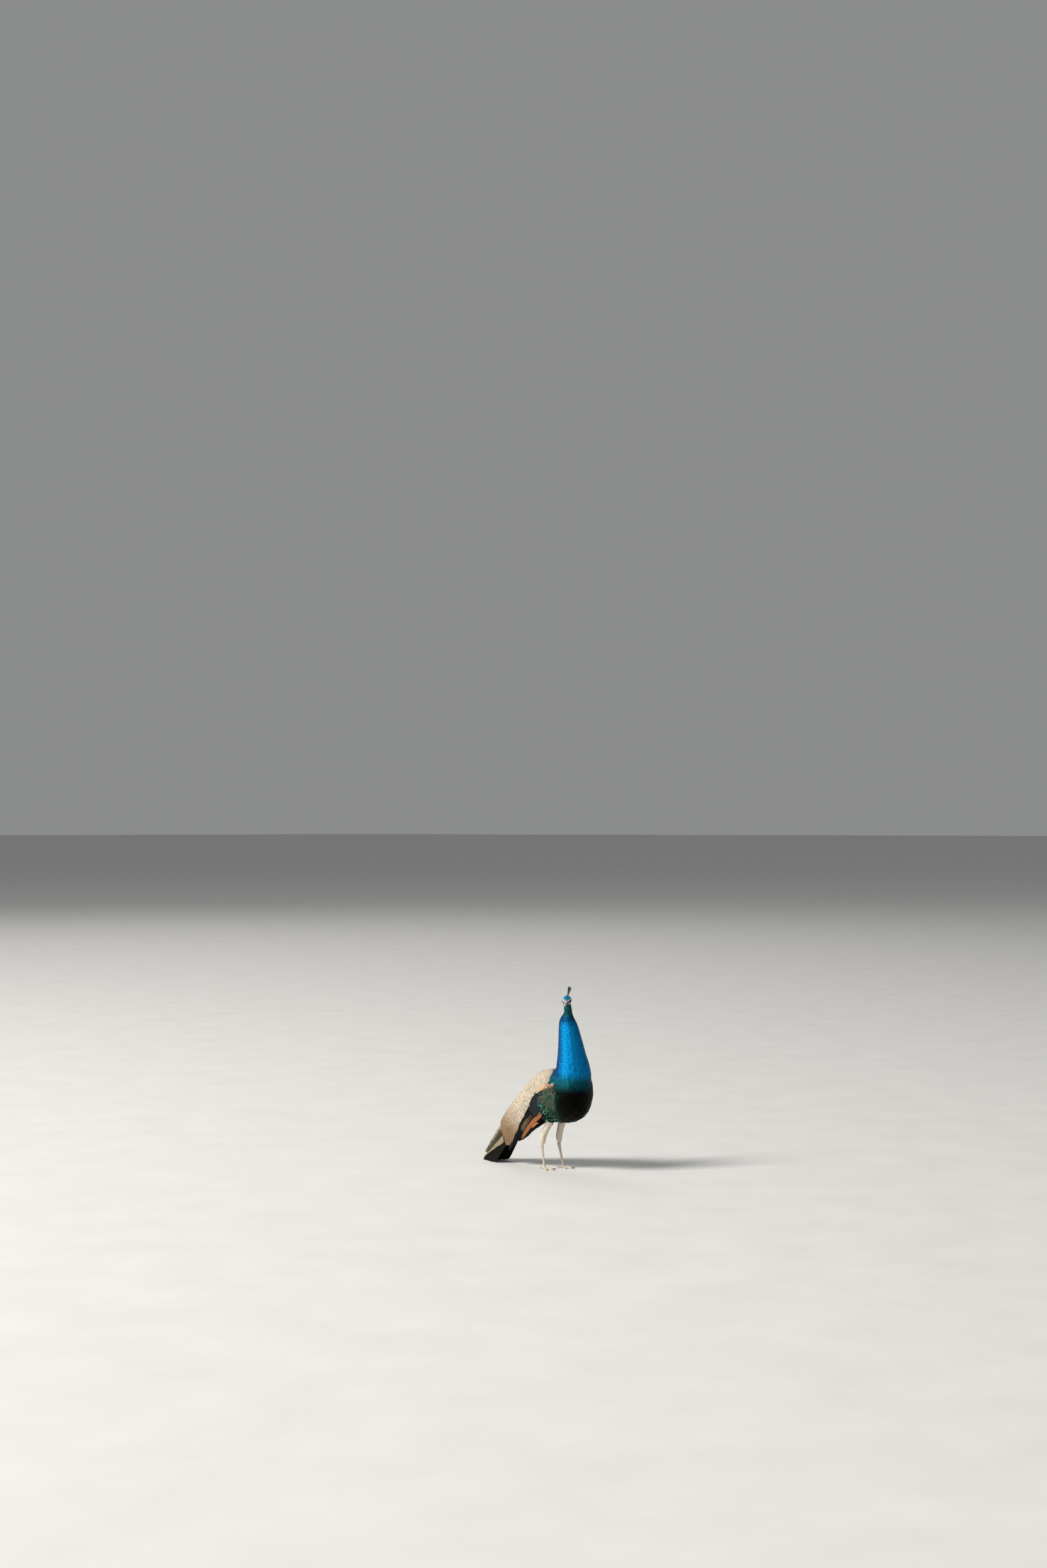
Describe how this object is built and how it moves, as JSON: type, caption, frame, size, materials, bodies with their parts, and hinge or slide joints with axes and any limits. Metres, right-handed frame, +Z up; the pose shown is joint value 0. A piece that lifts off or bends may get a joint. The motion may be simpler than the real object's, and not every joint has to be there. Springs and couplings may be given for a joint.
{
  "type": "peacock",
  "caption": "Life-size model of a standing Indian peacock without its train, neck upright and head turned aside, resting on both feet and the tips of its drooping tail.",
  "frame": {"origin": "on the floor, under the middle of the whole bird's box", "axes": "the bird faces -Y, its left side is +X, +Z is up"},
  "size_m": [0.2242, 0.6914, 0.9019],
  "materials": {
    "plumage_blue": "glossy overlapping feathers, brilliant cobalt with cyan lights",
    "plumage_green": "dark breast and belly feathers, blue-green above and near black below, loose and fringed on the flanks",
    "plumage_barred": "cream feathers finely barred with brown-black",
    "plumage_dark": "long blue-black and brown-black quill feathers",
    "plumage_rust": "smooth rust-coloured quill feathers",
    "plumage_buff": "short soft buff feathers",
    "horn": "greyish horn, slightly worn",
    "leg_skin": "pale scaled skin",
    "eye": "wet dark brown"
  },
  "bodies": {
    "root": {"head": "plumage_blue", "neck_upper": "plumage_blue", "neck_middle": "plumage_blue", "neck_lower": "plumage_blue", "crest": "plumage_blue", "trunk": "plumage_green", "wing_left": "plumage_barred", "wing_right": "plumage_barred", "tail_coverts": "plumage_barred", "secondaries_left": "plumage_dark", "secondaries_right": "plumage_dark", "tail_left": "plumage_dark", "tail_right": "plumage_dark", "undertail": "plumage_dark", "primaries_left": "plumage_rust", "primaries_right": "plumage_rust", "thigh_left": "plumage_buff", "thigh_right": "plumage_buff", "bill_upper": "horn", "bill_lower": "horn", "claw_middle_left": "horn", "claw_inner_left": "horn", "claw_outer_left": "horn", "claw_hind_left": "horn", "claw_middle_right": "horn", "claw_inner_right": "horn", "claw_outer_right": "horn", "claw_hind_right": "horn", "shank_left": "leg_skin", "shank_right": "leg_skin", "foot_left": "leg_skin", "foot_right": "leg_skin", "eye_left": "eye", "eye_right": "eye"}
  },
  "joints": []
}
